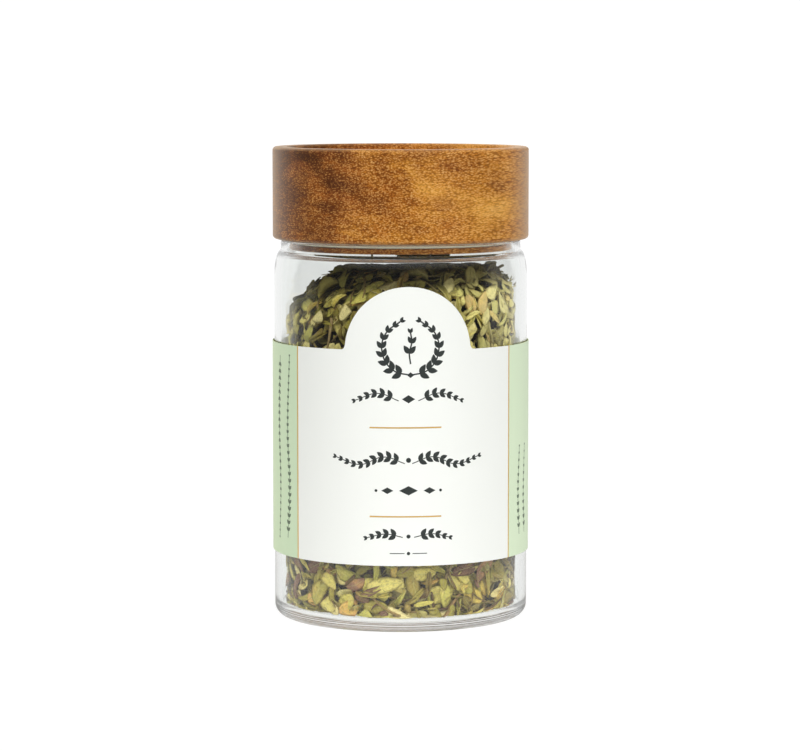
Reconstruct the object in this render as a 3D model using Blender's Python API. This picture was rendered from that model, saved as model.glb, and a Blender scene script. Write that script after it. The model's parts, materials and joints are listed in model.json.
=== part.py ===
"""A glass spice jar of dried thyme leaves, with a turned wooden lid and a paper label.

The jar stands on z = 0 with its axis on +Z. The middle of the label faces -Y.
"""

import math
import random

import bmesh
import bpy
from mathutils import Matrix, Vector

# Glass jar, in metres from the axis and from the surface that it stands on
JAR_RADIUS = 0.0320
JAR_HEIGHT = 0.0953
WALL = 0.0025
FLOOR_TOP = 0.0028
FOOT_CORNER = 0.0032
PUNT_RADIUS = 0.0215
PUNT_DEPTH = 0.0006
SHOULDER_START = 0.0859
NECK_START = 0.0927
NECK_RADIUS = 0.0303
NECK_BORE = 0.0288
LIP_BEVEL = 0.0004

# Turned lid, with its plug in the neck
LID_RADIUS = 0.0323
LID_BOTTOM = 0.0956
LID_TOP = 0.1187
LID_EDGE = 0.0009
RECESS_RADIUS = 0.0286
RECESS_DEPTH = 0.0030
PLUG_RADIUS = 0.0283
PLUG_BOTTOM = 0.0930
GROOVE_DEPTH = 0.0011
GROOVE_BOTTOM = 0.0943

# Label, with a round tab a little to the right of the front, its centre just below the top edge
LABEL_GAP = 0.0002
LABEL_THICKNESS = 0.0003
LABEL_BOTTOM = 0.0169
LABEL_TOP = 0.0699
LABEL_SEAM = 0.0020
TAB_RADIUS = 0.0161
TAB_SINK = 0.0006
TAB_FILLET = 0.0010
TAB_TURN = math.radians(3.4)

# Shared by all the pieces
CLEARANCE = 0.0003
SIDES = 64
MERGE = 1e-6
SHARP_ANGLE = math.radians(35)
FLAT_ANGLE = math.radians(0.5)

# Heap of leaves. It stands highest against the glass at +X and lowest at -X.
HEAP_RADIUS = 0.0292
HEAP_BOTTOM = FLOOR_TOP + CLEARANCE
HEAP_PEAK = 0.0902
HEAP_CEILING = PLUG_BOTTOM - CLEARANCE
HEAP_CORNER = 0.0022
WALL_MEAN = 0.0774
WALL_TILT_RIGHT = 0.0080
WALL_TILT_BACK = 0.0018
WALL_SADDLE = 0.0029
DOME_POWER = 0.8
CORE_INSET = 0.0011
CORE_SIDES = 24
CORE_STEPS = 6
LEAF_LENGTH = 0.0125
LEAF_WIDTH = 0.0076
LEAF_THICKNESS = 0.0007
SIDE_LEAN = 0.14
TOP_LEAN = math.radians(34)
OUTER_LEAVES = 188
BOTTOM_LEAVES = 18
GOLDEN_ANGLE = math.pi * (3 - math.sqrt(5))


def material(name, colour, roughness, metallic=0.0, transmission=0.0):
    made = bpy.data.materials.new(name)
    made.use_nodes = True
    shader = made.node_tree.nodes["Principled BSDF"]
    shader.inputs["Base Color"].default_value = (*colour, 1.0)
    shader.inputs["Roughness"].default_value = roughness
    shader.inputs["Metallic"].default_value = metallic
    shader.inputs["Transmission Weight"].default_value = transmission
    return made


def add_object(name, mesh, surface):
    mesh.materials.append(surface)
    made = bpy.data.objects.new(name, mesh)
    bpy.context.scene.collection.objects.link(made)
    return made


def around(radius, turn, height):
    return Vector((radius * math.cos(turn), radius * math.sin(turn), height))


def mesh_from(shape, name):
    """Closes the bmesh into a mesh with its faces pointing out."""
    bmesh.ops.recalc_face_normals(shape, faces=shape.faces)
    mesh = bpy.data.meshes.new(name)
    shape.to_mesh(mesh)
    shape.free()
    return mesh


def arc(centre, radii, start, end, steps):
    """Points on an ellipse's arc in the turning plane, as (radius, height). Angles are in degrees."""
    points = []
    for step in range(steps + 1):
        angle = math.radians(start + (end - start) * step / steps)
        points.append((centre[0] + radii[0] * math.cos(angle), centre[1] + radii[1] * math.sin(angle)))
    return points


def turned(name, profile, surface, closed=False):
    """The profile's (radius, height) points turned once round the Z axis."""
    shape = bmesh.new()
    verts = [shape.verts.new((radius, 0.0, height)) for radius, height in profile]
    pairs = list(zip(verts, verts[1:]))
    if closed:
        pairs.append((verts[-1], verts[0]))
    edges = [shape.edges.new(pair) for pair in pairs]
    bmesh.ops.spin(
        shape, geom=verts + edges, cent=(0, 0, 0), axis=(0, 0, 1), angle=math.tau, steps=SIDES, use_merge=True
    )
    bmesh.ops.remove_doubles(shape, verts=shape.verts, dist=MERGE)
    mesh = mesh_from(shape, name)
    mesh.shade_smooth()
    mesh.set_sharp_from_angle(angle=SHARP_ANGLE)
    return add_object(name, mesh, surface)


def glass_jar():
    """One glass body: foot with a shallow hollow, straight wall, rounded shoulder and short neck."""
    bore = JAR_RADIUS - WALL
    shoulder = (JAR_RADIUS - NECK_RADIUS, NECK_START - SHOULDER_START)
    inner_shoulder = (bore - NECK_BORE, NECK_START - SHOULDER_START)
    corner = FOOT_CORNER - WALL / 2
    profile = [(0.0, PUNT_DEPTH), (PUNT_RADIUS - PUNT_DEPTH * 3, PUNT_DEPTH), (PUNT_RADIUS, 0.0)]
    profile += arc((JAR_RADIUS - FOOT_CORNER, FOOT_CORNER), (FOOT_CORNER, FOOT_CORNER), -90, 0, 4)
    profile += arc((NECK_RADIUS, SHOULDER_START), shoulder, 0, 90, 4)
    profile += [(NECK_RADIUS, JAR_HEIGHT - LIP_BEVEL), (NECK_RADIUS - LIP_BEVEL, JAR_HEIGHT)]
    profile += [(NECK_BORE + LIP_BEVEL, JAR_HEIGHT), (NECK_BORE, JAR_HEIGHT - LIP_BEVEL)]
    profile += arc((NECK_BORE, SHOULDER_START), inner_shoulder, 90, 0, 3)
    profile += arc((bore - corner, FLOOR_TOP + corner), (corner, corner), 0, -90, 3)
    profile += [(0.0, FLOOR_TOP)]
    return turned("glass_jar", profile, material("clear_glass", (0.96, 0.98, 0.97), 0.03, transmission=1.0))


def lid():
    """A wooden disc with a recess in its top, and the plug below it with a groove for the seal."""
    edge = (LID_EDGE, LID_EDGE)
    recess_floor = LID_TOP - RECESS_DEPTH
    profile = [(0.0, recess_floor), (RECESS_RADIUS - LID_EDGE, recess_floor)]
    profile += [(RECESS_RADIUS, recess_floor + LID_EDGE), (RECESS_RADIUS, LID_TOP - LID_EDGE / 2)]
    profile += [(RECESS_RADIUS + LID_EDGE / 2, LID_TOP)]
    profile += arc((LID_RADIUS - LID_EDGE, LID_TOP - LID_EDGE), edge, 90, 0, 3)
    profile += arc((LID_RADIUS - LID_EDGE, LID_BOTTOM + LID_EDGE), edge, 0, -90, 3)
    profile += [(PLUG_RADIUS - GROOVE_DEPTH, LID_BOTTOM), (PLUG_RADIUS - GROOVE_DEPTH, GROOVE_BOTTOM)]
    profile += [(PLUG_RADIUS, GROOVE_BOTTOM), (PLUG_RADIUS, PLUG_BOTTOM + LID_EDGE / 2)]
    profile += [(PLUG_RADIUS - LID_EDGE / 2, PLUG_BOTTOM), (0.0, PLUG_BOTTOM)]
    return turned("lid", profile, material("acacia", (0.48, 0.22, 0.08), 0.5))


def lid_gasket():
    """A ring in the plug's groove, with a crest that bears on the neck's bore."""
    inner = PLUG_RADIUS - GROOVE_DEPTH + CLEARANCE
    body = PLUG_RADIUS - CLEARANCE / 3
    crest = NECK_BORE - CLEARANCE
    bottom = GROOVE_BOTTOM + CLEARANCE
    height = LID_BOTTOM - CLEARANCE - bottom
    outline = [(inner, 0.0), (inner, 1.0), (body, 1.0), (crest, 0.62), (crest, 0.38), (body, 0.0)]
    profile = [(radius, bottom + share * height) for radius, share in outline]
    surface = material("clear_silicone", (0.80, 0.80, 0.72), 0.35, transmission=0.5)
    return turned("lid_gasket", profile, surface, closed=True)


def label_columns(radius):
    """The label's top edge from seam to seam, as (angle, height), angle 0 at the middle of the tab."""
    half_turn = math.pi - LABEL_SEAM / 2 / radius
    tab_side = TAB_RADIUS + TAB_FILLET
    flat_steps = round(SIDES * (half_turn - tab_side / radius) / math.tau)
    half = []
    for step in range(flat_steps + 1):
        half.append((half_turn + (tab_side / radius - half_turn) * step / flat_steps, LABEL_TOP))
    for angle in (30, 60):
        turn = math.radians(angle)
        across = tab_side - TAB_FILLET * math.sin(turn)
        half.append((across / radius, LABEL_TOP + TAB_FILLET * (1 - math.cos(turn))))
    for angle in range(6, 91, 12):
        turn = math.radians(angle)
        height = LABEL_TOP - TAB_SINK + TAB_RADIUS * math.sin(turn)
        half.append((TAB_RADIUS * math.cos(turn) / radius, height))
    half[-1] = (0.0, LABEL_TOP - TAB_SINK + TAB_RADIUS)
    return half + [(-angle, height) for angle, height in reversed(half[:-1])]


def label():
    """The wrap-round paper, from one side of its seam at the back to the other."""
    inner = JAR_RADIUS + LABEL_GAP
    outer = inner + LABEL_THICKNESS
    front = math.radians(-90) + TAB_TURN
    shape = bmesh.new()
    rings = []
    for angle, top in label_columns(outer):
        corners = [(inner, LABEL_BOTTOM), (outer, LABEL_BOTTOM), (outer, top), (inner, top)]
        rings.append([shape.verts.new(around(radius, front + angle, height)) for radius, height in corners])
    for ring, following in zip(rings, rings[1:]):
        for corner in range(4):
            beyond = (corner + 1) % 4
            shape.faces.new((ring[corner], ring[beyond], following[beyond], following[corner]))
    shape.faces.new(rings[0])
    shape.faces.new(rings[-1])
    mesh = mesh_from(shape, "label")
    mesh.shade_smooth()
    mesh.set_sharp_from_angle(angle=SHARP_ANGLE)
    return add_object("label", mesh, material("label_paper", (0.93, 0.94, 0.91), 0.6))


def wall_height(turn):
    """How high the leaves stand against the glass, by direction."""
    tilt = WALL_TILT_RIGHT * math.cos(turn) + WALL_TILT_BACK * math.sin(turn)
    return WALL_MEAN + tilt - WALL_SADDLE * math.cos(2 * turn)


def meridian(turn, inset=0.0, steps=16):
    """The heap's outline in one direction, as (radius, height) from the glass floor up the wall to the crown.

    The top is a dome whose outline is a superellipse, so it falls steeply at the glass.
    """
    edge = HEAP_RADIUS - inset
    side = wall_height(turn) - inset
    points = [(edge - HEAP_CORNER, HEAP_BOTTOM + inset / 2), (edge, HEAP_BOTTOM + inset / 2 + HEAP_CORNER)]
    for step in range(steps + 1):
        angle = math.radians(90) * step / steps
        radius = edge * math.cos(angle) ** DOME_POWER
        points.append((radius, side + (HEAP_PEAK - inset - side) * math.sin(angle) ** DOME_POWER))
    return points


def point_at_share(outline, share):
    """The point and normal that leave this share of the turned outline's area below them."""
    strips = []
    for (radius, height), (next_radius, next_height) in zip(outline, outline[1:]):
        run = math.hypot(next_radius - radius, next_height - height)
        strips.append(run * (radius + next_radius) / 2)
    left = share * sum(strips)
    for index, strip_area in enumerate(strips):
        if left <= strip_area:
            break
        left -= strip_area
    low, high = Vector(outline[index]), Vector(outline[index + 1])
    direction = (high - low).normalized()
    return low.lerp(high, left / strip_area), Vector((direction.y, -direction.x))


def heap_core():
    """The leaves' inner mass, a little smaller than the heap all round."""
    shape = bmesh.new()
    turns = [math.tau * side / CORE_SIDES for side in range(CORE_SIDES)]
    columns = []
    for turn in turns:
        outline = meridian(turn, CORE_INSET, CORE_STEPS)[:-1]
        columns.append([shape.verts.new(around(radius, turn, height)) for radius, height in outline])
    crown = shape.verts.new((0, 0, HEAP_PEAK - CORE_INSET))
    for column, beside in zip(columns, columns[1:] + columns[:1]):
        for level in range(len(column) - 1):
            shape.faces.new((column[level], beside[level], beside[level + 1], column[level + 1]))
        shape.faces.new((column[-1], beside[-1], crown))
    shape.faces.new([column[0] for column in reversed(columns)])
    return mesh_from(shape, "heap_core")


def leaf_rows(length, width):
    """A leaf's edge points from stalk to tip, an oval drawn out to a point."""
    rows = [[(-0.5 * length, 0.0)]]
    for along, half in ((-0.26, 0.42), (0.02, 0.50), (0.29, 0.33)):
        rows.append([(along * length, half * width), (along * length, -half * width)])
    rows.append([(0.5 * length, 0.0)])
    return rows


def strip(rows, place, curl=0.0):
    """A thin piece as one closed body, from rows of (along, across).

    place turns (along, across, out) into a point. curl arches the piece by that share of its length.
    """
    shape = bmesh.new()
    reach = rows[-1][0][0]
    rims = []
    for level in (-LEAF_THICKNESS / 2, LEAF_THICKNESS / 2):
        layer = []
        for row in rows:
            out = curl * 2 * reach * (1 - (row[0][0] / reach) ** 2) + level
            layer.append([shape.verts.new(place(along, across, out)) for along, across in row])
        for row, following in zip(layer, layer[1:]):
            if len(following) == 2:
                shape.faces.new((row[0], following[0], following[1]))
            if len(row) == 2:
                shape.faces.new((row[0], following[-1], row[1]))
        rims.append([row[0] for row in layer] + [row[1] for row in reversed(layer) if len(row) == 2])
    lower, upper = rims
    for start in range(len(lower)):
        beyond = (start + 1) % len(lower)
        shape.faces.new((lower[start], lower[beyond], upper[beyond], upper[start]))
    return mesh_from(shape, "leaf")


def side_leaf(turn, height, spin, lean, length, width, curl):
    """A leaf pressed against the glass: it follows the wall's curve and one end leans into the heap."""
    limit = HEAP_RADIUS - LEAF_THICKNESS / 2

    def place(along, across, out):
        sideways = along * math.cos(spin) - across * math.sin(spin)
        upwards = along * math.sin(spin) + across * math.cos(spin)
        depth = abs(lean) * length / 2 - lean * along
        return around(limit - depth + out, turn + sideways / HEAP_RADIUS, height + upwards)

    return kept_inside(strip(leaf_rows(length, width), place, curl), around(1.0, turn, 0.0))


def free_leaf(centre, normal, spin, lean, length, width, curl):
    """A leaf at a point of the heap's top or bottom, turned by spin and tipped out of the surface by lean."""
    first = normal.orthogonal().normalized()
    flat = first * math.cos(spin) + normal.cross(first) * math.sin(spin)
    crosswise = normal.cross(flat)
    lengthwise = flat * math.cos(lean) + normal * math.sin(lean)
    up = lengthwise.cross(crosswise)
    mesh = strip(
        leaf_rows(length, width),
        lambda along, across, out: centre + lengthwise * along + crosswise * across + up * out,
        curl,
    )
    return kept_inside(mesh, Vector((centre.x, centre.y, 0.0)).normalized())


def floor_height(point):
    """Where the heap may start above a point of the jar's floor, which rounds up into the wall."""
    past = math.hypot(point.x, point.y) - (HEAP_RADIUS - HEAP_CORNER)
    if past <= 0:
        return HEAP_BOTTOM
    return HEAP_BOTTOM + HEAP_CORNER - math.sqrt(max(HEAP_CORNER**2 - past**2, 0.0))


def kept_inside(mesh, outward):
    """Moves a leaf bodily away from the glass, the plug and the jar's floor."""
    for _ in range(3):
        reach = max(math.hypot(vert.co.x, vert.co.y) for vert in mesh.vertices) - HEAP_RADIUS
        rise = max(vert.co.z for vert in mesh.vertices) - HEAP_CEILING
        sink = min(vert.co.z - floor_height(vert.co) for vert in mesh.vertices)
        shift = Vector((0.0, 0.0, -max(rise, 0.0) - min(sink, 0.0))) - outward * max(reach, 0.0)
        mesh.transform(Matrix.Translation(shift))
    return mesh


def outer_leaves(chance):
    """Leaves spread evenly over the heap's side and top by the golden angle."""
    leaves = []
    for index in range(OUTER_LEAVES):
        turn = index * GOLDEN_ANGLE
        place, normal = point_at_share(meridian(turn), (index + 0.5) / OUTER_LEAVES)
        size = chance.uniform(0.85, 1.15)
        length = LEAF_LENGTH * size
        width = LEAF_WIDTH * size * chance.uniform(0.85, 1.1)
        spin = chance.uniform(0, math.tau)
        if normal.x > 0.9:
            lean = chance.uniform(-SIDE_LEAN, SIDE_LEAN)
            leaves.append(side_leaf(turn, place.y, spin, lean, length, width, chance.uniform(-0.04, 0.0)))
        else:
            outward = around(normal.x, turn, normal.y)
            centre = around(place.x, turn, place.y) - outward * CORE_INSET / 2
            lean = chance.uniform(0.4, 1.0) * TOP_LEAN
            leaves.append(free_leaf(centre, outward, spin, lean, length, width, chance.uniform(-0.06, 0.08)))
    return leaves


def bottom_leaves(chance):
    """Leaves that lie flat on the jar's floor."""
    down = Vector((0, 0, -1))
    leaves = []
    for index in range(BOTTOM_LEAVES):
        radius = (HEAP_RADIUS - LEAF_LENGTH / 2) * math.sqrt((index + 0.5) / BOTTOM_LEAVES)
        centre = around(radius, index * GOLDEN_ANGLE, HEAP_BOTTOM + CORE_INSET / 2)
        leaves.append(free_leaf(
            centre, down, chance.uniform(0, math.tau), chance.uniform(-0.05, 0.05),
            LEAF_LENGTH * chance.uniform(0.85, 1.1), LEAF_WIDTH, 0.0,
        ))
    return leaves


def keep_outer_shell(mesh):
    """Fills the hollows that the union sealed and drops loose scraps: only the largest shell stays."""
    shape = bmesh.new()
    shape.from_mesh(mesh)
    bmesh.ops.dissolve_limit(shape, angle_limit=FLAT_ANGLE, verts=shape.verts, edges=shape.edges)
    bmesh.ops.triangulate(shape, faces=shape.faces)
    unseen = set(shape.faces)
    shells = []
    while unseen:
        shell = []
        front = [unseen.pop()]
        while front:
            face = front.pop()
            shell.append(face)
            beside = {other for edge in face.edges if edge.is_manifold for other in edge.link_faces} & unseen
            unseen -= beside
            front.extend(beside)
        shells.append(shell)
    shells.sort(key=len)
    spare = [face for shell in shells[:-1] for face in shell]
    bmesh.ops.delete(shape, geom=spare, context="FACES")
    shape.to_mesh(mesh)
    shape.free()


def dried_thyme():
    """The heap as one body: the core and the leaves joined, so that only what shows of each leaf is left."""
    chance = random.Random(11)
    made = add_object("dried_thyme", heap_core(), material("dried_leaf", (0.33, 0.32, 0.12), 0.8))
    leaves = bpy.data.collections.new("leaves")
    bpy.context.scene.collection.children.link(leaves)
    for mesh in outer_leaves(chance) + bottom_leaves(chance):
        leaves.objects.link(bpy.data.objects.new("leaf", mesh))
    union = made.modifiers.new("union", "BOOLEAN")
    union.operation = "UNION"
    union.operand_type = "COLLECTION"
    union.solver = "MANIFOLD"
    union.collection = leaves
    bpy.context.view_layer.update()
    joined = bpy.data.meshes.new_from_object(made.evaluated_get(bpy.context.evaluated_depsgraph_get()))
    made.modifiers.clear()
    made.data = joined
    keep_outer_shell(joined)
    for leaf in list(leaves.objects):
        bpy.data.objects.remove(leaf)
    bpy.data.collections.remove(leaves)
    joined.shade_flat()


def main():
    for old in list(bpy.data.objects):
        bpy.data.objects.remove(old, do_unlink=True)
    glass_jar()
    lid()
    lid_gasket()
    label()
    dried_thyme()


main()
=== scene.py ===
import json
import math
import random

import bmesh
import bpy
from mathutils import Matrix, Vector, noise

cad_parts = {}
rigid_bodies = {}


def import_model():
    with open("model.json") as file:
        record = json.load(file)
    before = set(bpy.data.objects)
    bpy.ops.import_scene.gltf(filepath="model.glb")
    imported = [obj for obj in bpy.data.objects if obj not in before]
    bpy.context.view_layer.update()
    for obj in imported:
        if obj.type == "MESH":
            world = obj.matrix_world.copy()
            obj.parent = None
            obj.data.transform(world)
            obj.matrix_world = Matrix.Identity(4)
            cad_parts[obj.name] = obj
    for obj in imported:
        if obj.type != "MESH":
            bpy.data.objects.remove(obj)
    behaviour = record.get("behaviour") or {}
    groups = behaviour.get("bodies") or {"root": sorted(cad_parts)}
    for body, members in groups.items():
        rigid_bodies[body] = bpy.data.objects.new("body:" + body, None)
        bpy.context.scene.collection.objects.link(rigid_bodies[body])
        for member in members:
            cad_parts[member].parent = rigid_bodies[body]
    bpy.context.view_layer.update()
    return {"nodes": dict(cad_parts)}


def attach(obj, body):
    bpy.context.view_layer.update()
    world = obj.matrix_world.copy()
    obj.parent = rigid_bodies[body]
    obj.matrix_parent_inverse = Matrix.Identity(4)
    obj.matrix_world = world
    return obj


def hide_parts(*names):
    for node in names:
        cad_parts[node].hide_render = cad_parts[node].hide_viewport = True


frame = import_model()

mm = 0.001
print("frame loaded:", len(frame["nodes"]), "solids")


# node sheets: one way to put nodes down, and sockets that take + - * /

def pick(sockets, name):
    if isinstance(name, int):
        return sockets[name]
    return next(socket for socket in sockets if socket.name == name and socket.enabled)


class Wire:
    def __init__(self, sheet, socket):
        self.sheet = sheet
        self.socket = socket

    def __getitem__(self, name):  # another output of the same node
        return Wire(self.sheet, pick(self.socket.node.outputs, name))

    def maths(self, operation, *values):
        return self.sheet.add("ShaderNodeMath", {"operation": operation}, dict(enumerate(values)))

    def __add__(self, other):
        return self.maths("ADD", self, other)

    def __radd__(self, other):
        return self.maths("ADD", other, self)

    def __sub__(self, other):
        return self.maths("SUBTRACT", self, other)

    def __rsub__(self, other):
        return self.maths("SUBTRACT", other, self)

    def __mul__(self, other):
        return self.maths("MULTIPLY", self, other)

    def __rmul__(self, other):
        return self.maths("MULTIPLY", other, self)

    def __truediv__(self, other):
        return self.maths("DIVIDE", self, other)

    def __pow__(self, other):
        return self.maths("POWER", self, other)

    def __abs__(self):
        return self.maths("ABSOLUTE", self)

    def clamped(self):
        return self.sheet.add("ShaderNodeClamp", None, {0: self})

    def past(self, start, reach):  # 0 up to the start, 1 from the reach on, or downwards where the reach is negative
        return ((self - start) / reach).clamped()

    def near(self, centre, reach):  # 1 at the centre, 0 from the reach on to either side
        return (1.0 - abs(self - centre) / reach).clamped()


class Sheet:
    def __init__(self, tree):
        self.tree = tree

    def add(self, kind, settings=None, inputs=None, out=0):
        made = self.tree.nodes.new(kind)
        for name, value in (settings or {}).items():
            if name == "stops":  # of a colour ramp, as (place, colour)
                stops = made.color_ramp.elements
                while len(stops) < len(value):
                    stops.new(0.5)
                for stop, (place, colour) in zip(stops, value):
                    stop.position = place
                    stop.color = colour
            else:
                setattr(made, name, value)
        for name, value in (inputs or {}).items():
            socket = pick(made.inputs, name)
            for one in value if isinstance(value, list) else [value]:
                if isinstance(one, Wire):
                    self.tree.links.new(one.socket, socket)
                else:
                    socket.default_value = one
        return Wire(self, pick(made.outputs, out)) if made.outputs else made

    def mixed(self, share, first, second):  # colours
        return self.add("ShaderNodeMix", {"data_type": "RGBA"}, {"Factor": share, "A": first, "B": second}, "Result")

    def layered(self, colour, layers):  # each layer is a share, and the colour that it lays over what is there
        for share, over in layers:
            colour = self.mixed(share, colour, over)
        return colour

    def ramp(self, stops, place):
        return self.add("ShaderNodeValToRGB", {"stops": stops}, {"Fac": place})

    def speckle(self, place, scale, detail=2.0, distortion=0.0):
        values = {"Vector": place, "Scale": scale, "Detail": detail, "Distortion": distortion}
        return self.add("ShaderNodeTexNoise", None, values, "Fac")

    def spread(self, place, scale):
        return self.add("ShaderNodeMapping", None, {"Vector": place, "Scale": scale})

    def parts(self, vector):
        return self.add("ShaderNodeSeparateXYZ", None, {0: vector})

    def vector(self, first=0.0, second=0.0, third=0.0):
        return self.add("ShaderNodeCombineXYZ", None, {0: first, 1: second, 2: third})

    def highest(self, first, second):
        return self.add("ShaderNodeMath", {"operation": "MAXIMUM"}, {0: first, 1: second})

    def lowest(self, first, second):
        return self.add("ShaderNodeMath", {"operation": "MINIMUM"}, {0: first, 1: second})

    def surfaced(self, colour, roughness, relief, others=None):  # relief is its height, strength and depth
        normal = self.add("ShaderNodeBump", None, dict(zip(("Height", "Strength", "Distance"), relief)))
        values = {"Base Color": colour, "Roughness": roughness, "Normal": normal, **(others or {})}
        return self.add("ShaderNodeBsdfPrincipled", None, values)


def shade(red, green, blue):  # a colour as a picture shows it, 0 to 255
    def linear(value):
        value /= 255
        return value / 12.92 if value <= 0.04045 else ((value + 0.055) / 1.055) ** 2.4
    return (linear(red), linear(green), linear(blue), 1.0)


white = (1.0, 1.0, 1.0, 1.0)


def newFinish(name):  # a material, its sheet, and the place on the piece
    made = bpy.data.materials.new(name)
    made.use_nodes = True
    made.node_tree.nodes.clear()
    sheet = Sheet(made.node_tree)
    return made, sheet, sheet.add("ShaderNodeTexCoord", out="Object")


def shown(sheet, shader):
    sheet.add("ShaderNodeOutputMaterial", None, {"Surface": shader})


def newTree(name, inputs, output):  # a tree that makes geometry, its sheet and its inputs
    tree = bpy.data.node_groups.new(name, "GeometryNodeTree")
    for label, kind in inputs.items():
        tree.interface.new_socket(name=label, in_out="INPUT", socket_type="NodeSocket" + kind)
    tree.interface.new_socket(name=output, in_out="OUTPUT", socket_type="NodeSocketGeometry")
    sheet = Sheet(tree)
    return tree, sheet, sheet.add("NodeGroupInput")


# shapes that several pieces share

hold = 0.25 * mm  # a ring this close to a curve keeps the shading beyond it flat
sharpEdge = math.radians(40)
tiny = 1e-7


def bend(centre, radii, start, end, steps):  # an ellipse's arc as (radius, height), in degrees
    points = []
    for step in range(steps + 1):
        angle = math.radians(start + (end - start) * step / steps)
        points.append((centre[0] + radii[0] * math.cos(angle), centre[1] + radii[1] * math.sin(angle)))
    return points


def around(radius, turn, height):
    return Vector((radius * math.cos(turn), radius * math.sin(turn), height))


def putDown(name, mesh, finish=None):
    if finish:
        mesh.materials.append(finish)
    made = bpy.data.objects.new(name, mesh)
    bpy.context.scene.collection.objects.link(made)
    return made


def asMesh(shape, name, smooth=False):
    mesh = bpy.data.meshes.new(name)
    shape.to_mesh(mesh)
    shape.free()
    if smooth:
        mesh.shade_smooth()
        mesh.set_sharp_from_angle(angle=sharpEdge)
    return mesh


def skinned(shape, rings, ends):  # quads from each ring to the next, and a face over each of these ends
    for ring, following in zip(rings, rings[1:]):
        for corner in range(len(ring)):
            beyond = (corner + 1) % len(ring)
            shape.faces.new((ring[corner], following[corner], following[beyond], ring[beyond]))
    for end in ends:
        shape.faces.new(end)


def turned(name, profile, finish, sides, closed=False):
    shape = bmesh.new()
    rings = []
    for radius, height in profile:
        if radius < tiny:
            rings.append([shape.verts.new((0, 0, height))] * sides)
        else:
            turns = [math.tau * side / sides for side in range(sides)]
            rings.append([shape.verts.new(around(radius, turn, height)) for turn in turns])
    pairs = list(zip(rings, rings[1:])) + ([(rings[-1], rings[0])] if closed else [])
    for ring, following in pairs:
        for side in range(sides):
            beyond = (side + 1) % sides
            corners = [ring[side], ring[beyond], following[beyond], following[side]]
            corners = [corner for place, corner in enumerate(corners) if corner not in corners[:place]]
            shape.faces.new(corners)
    bmesh.ops.recalc_face_normals(shape, faces=shape.faces)
    return putDown(name, asMesh(shape, name, smooth=True), finish)


def stands(piece, node):
    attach(piece, "root")
    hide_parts(node)


# camera, at the photograph's angle

view = dict(place=(-0.000159, -0.8, 0.139328), lookDown=5.6178, focal=142.503, film=36.0, nearest=0.05)


def makeCamera():
    data = bpy.data.cameras.new("camera")
    data.lens = view["focal"]
    data.sensor_width = view["film"]
    data.clip_start = view["nearest"]
    camera = bpy.data.objects.new("camera", data)
    camera.location = view["place"]
    camera.rotation_euler = (math.radians(90 - view["lookDown"]), 0, 0)
    bpy.context.scene.collection.objects.link(camera)
    bpy.context.scene.camera = camera


makeCamera()
print("camera placed")


# glass jar

jar = dict(
    radius=32.0 * mm, height=95.3 * mm, wall=1.7 * mm, floorTop=2.4 * mm, foot=2.8 * mm,
    puntRadius=21.5 * mm, puntDepth=0.6 * mm, shoulderStart=85.9 * mm, neckStart=92.7 * mm,
    neckRadius=30.3 * mm, bore=28.8 * mm, shelf=1.4 * mm, crook=0.5 * mm, lip=0.4 * mm, sides=192,
    tint=(0.971, 0.990, 0.976, 1.0), paleTint=(0.980, 0.993, 0.983, 1.0), shadowTint=(0.985, 0.99, 0.985, 1.0),
    bendOfLight=1.5, rippleScale=70.0, filmScale=160.0,
)


def glassFinish():
    finish, sheet, place = newFinish("clearGlass")
    ripple = sheet.speckle(sheet.spread(place, (1, 1, 0.35)), jar["rippleScale"], 1.0)
    film = sheet.speckle(place, jar["filmScale"], 3.0)
    colour = sheet.mixed(film, jar["tint"], jar["paleTint"])
    glass = sheet.surfaced(colour, film * 0.012, (ripple, 0.06, 0.6 * mm), {
        "IOR": jar["bendOfLight"], "Transmission Weight": 1.0})
    clear = sheet.add("ShaderNodeBsdfTransparent", None, {"Color": jar["shadowTint"]})
    path = sheet.add("ShaderNodeLightPath")
    lit = sheet.add("ShaderNodeMixShader", None, {0: path["Is Shadow Ray"], 1: glass, 2: clear})
    shown(sheet, sheet.add("ShaderNodeMixShader", None, {0: path["Is Diffuse Ray"], 1: lit, 2: clear}))
    return finish


def glassJar():
    radius, neck, bore, lip = jar["radius"], jar["neckRadius"], jar["bore"], jar["lip"]
    start, ledge, top = jar["shoulderStart"], jar["neckStart"], jar["height"] - lip
    foot, punt, puntRadius = jar["foot"], jar["puntDepth"], jar["puntRadius"]
    inner, innerFoot, floor = radius - jar["wall"], foot - jar["wall"] / 2, jar["floorTop"]
    crook, shelf = jar["crook"], ledge - jar["shelf"]  # inside, the shoulder runs along the outer one
    profile = [
        (0.0, punt), (puntRadius - 3 * punt, punt), (puntRadius - 2 * punt, punt * 0.85),
        (puntRadius - punt, punt * 0.3), (puntRadius, 0.0), (radius - foot - hold, 0.0),
        *bend((radius - foot, foot), (foot, foot), -90, 0, 12), (radius, foot + hold), (radius, start - hold),
        *bend((neck, start), (radius - neck, ledge - start), 0, 90, 14), (neck, ledge + hold),
        *bend((neck - lip, top), (lip, lip), 0, 90, 5), *bend((bore + lip, top), (lip, lip), 90, 180, 5),
        *bend((bore + crook, shelf + crook), (crook, crook), -180, -90, 6),
        *bend((bore + crook, start), (inner - crook - bore, shelf - start), 88, 0, 12),
        (inner, start - hold), (inner, floor + innerFoot + hold),
        *bend((inner - innerFoot, floor + innerFoot), (innerFoot, innerFoot), 0, -90, 10),
        (inner - innerFoot - hold, floor), (0.0, floor),
    ]
    stands(turned("jarGlass", profile, glassFinish(), jar["sides"]), "glass_jar")


glassJar()
print("jar turned")


# wooden lid

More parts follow.
